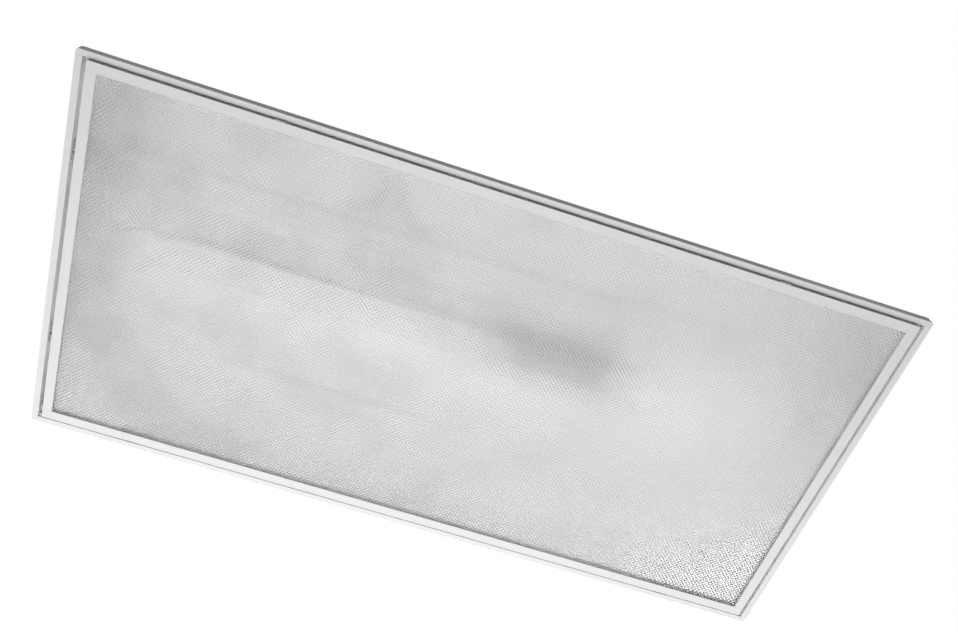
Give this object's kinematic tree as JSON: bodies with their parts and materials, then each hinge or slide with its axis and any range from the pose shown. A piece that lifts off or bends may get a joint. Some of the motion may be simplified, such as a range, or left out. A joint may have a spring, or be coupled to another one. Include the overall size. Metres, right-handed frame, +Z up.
{
  "type": "recessed troffer light",
  "caption": "Rectangular lay-in recessed ceiling light with a hinged white door frame, clear square-prism lens, tubular lamps and a raised wiring tray.",
  "frame": {"origin": "middle of the light, in the plane of the flange's underside, which rests on the ceiling grid", "axes": "+X along the length, +Z up into the ceiling, -Y towards the latch side of the door"},
  "size_m": [1.2164, 0.6032, 0.0944],
  "materials": {
    "white_enamel": "satin white baked enamel",
    "lamp_glass": "white phosphor seen through clear glass",
    "lamp_cap_metal": "drawn aluminium",
    "holder_plastic": "white moulded",
    "contact_brass": "stamped",
    "clear_acrylic": "clear, square prisms on the room side",
    "spring_steel": "bright",
    "zinc_steel": "zinc plated",
    "ballast_enamel": "black baked enamel",
    "earth_green": "green dyed",
    "black_rubber": "matte",
    "nylon": "natural",
    "black_sleeve": "satin",
    "wire_blue": "satin",
    "wire_red": "satin",
    "wire_yellow": "satin",
    "wire_black": "satin",
    "wire_white": "satin",
    "wire_green": "satin",
    "wire_nut_plastic": "moulded"
  },
  "bodies": {
    "housing": {"access_plate": "white_enamel", "ballast_case": "ballast_enamel", "ballast_tray": "white_enamel", "cable_clips": "nylon", "end_plate_left": "white_enamel", "end_plate_right": "white_enamel", "grounding_screw": "earth_green", "hinge_hangers": "zinc_steel", "housing_screws": "zinc_steel", "housing_shell": "white_enamel", "lampholder_contacts": "contact_brass", "lampholder_left_far": "holder_plastic", "lampholder_left_near": "holder_plastic", "lampholder_right_far": "holder_plastic", "lampholder_right_near": "holder_plastic", "lead_black": "wire_black", "lead_blue": "wire_blue", "lead_green": "wire_green", "lead_red": "wire_red", "lead_sleeve": "black_sleeve", "lead_white": "wire_white", "leads_yellow": "wire_yellow", "safety_clip_pins": "zinc_steel", "tray_fasteners": "zinc_steel", "wire_grommets": "black_rubber", "wire_nuts": "wire_nut_plastic"},
    "door": {"door_rail_near": "white_enamel", "door_rail_far": "white_enamel", "door_rail_left": "white_enamel", "door_rail_right": "white_enamel", "corner_brackets": "zinc_steel", "door_rivets": "zinc_steel", "lens_panel": "clear_acrylic", "lens_clips": "spring_steel", "hinge_brackets": "zinc_steel", "hinge_pins": "zinc_steel", "latch_guides": "zinc_steel"},
    "latch_left": {"latch_slider_left": "white_enamel"},
    "latch_right": {"latch_slider_right": "white_enamel"},
    "lamp_near": {"lamp_near_tube": "lamp_glass", "lamp_near_caps": "lamp_cap_metal", "lamp_near_rotors": "holder_plastic"},
    "lamp_far": {"lamp_far_tube": "lamp_glass", "lamp_far_caps": "lamp_cap_metal", "lamp_far_rotors": "holder_plastic"},
    "safety_clip_left_near_body": {"safety_clip_left_near": "zinc_steel"},
    "safety_clip_left_far_body": {"safety_clip_left_far": "zinc_steel"},
    "safety_clip_right_near_body": {"safety_clip_right_near": "zinc_steel"},
    "safety_clip_right_far_body": {"safety_clip_right_far": "zinc_steel"}
  },
  "joints": [
    {"name": "door_hinge", "type": "hinge", "parent": "housing", "child": "door", "pos_m": [0, 0.28403, 0], "axis": [1, 0, 0], "range_deg": [0, 90]},
    {"name": "latch_left_slide", "type": "slide", "parent": "door", "child": "latch_left", "axis": [0, -1, 0], "range_m": [0, 0.0045]},
    {"name": "latch_right_slide", "type": "slide", "parent": "door", "child": "latch_right", "axis": [0, -1, 0], "range_m": [0, 0.0045]},
    {"name": "lamp_near_turn", "type": "hinge", "parent": "housing", "child": "lamp_near", "pos_m": [0, -0.15, 0.038], "axis": [1, 0, 0], "range_deg": [0, 90]},
    {"name": "lamp_far_turn", "type": "hinge", "parent": "housing", "child": "lamp_far", "pos_m": [0, 0.15, 0.038], "axis": [1, 0, 0], "range_deg": [0, 90]},
    {"name": "safety_clip_left_near_fold", "type": "hinge", "parent": "housing", "child": "safety_clip_left_near_body", "pos_m": [-0.60403, -0.23, 0.042], "axis": [0, -1, 0], "range_deg": [0, 90]},
    {"name": "safety_clip_left_far_fold", "type": "hinge", "parent": "housing", "child": "safety_clip_left_far_body", "pos_m": [-0.60403, 0.23, 0.042], "axis": [0, -1, 0], "range_deg": [0, 90]},
    {"name": "safety_clip_right_near_fold", "type": "hinge", "parent": "housing", "child": "safety_clip_right_near_body", "pos_m": [0.60403, -0.23, 0.042], "axis": [0, 1, 0], "range_deg": [0, 90]},
    {"name": "safety_clip_right_far_fold", "type": "hinge", "parent": "housing", "child": "safety_clip_right_far_body", "pos_m": [0.60403, 0.23, 0.042], "axis": [0, 1, 0], "range_deg": [0, 90]}
  ]
}
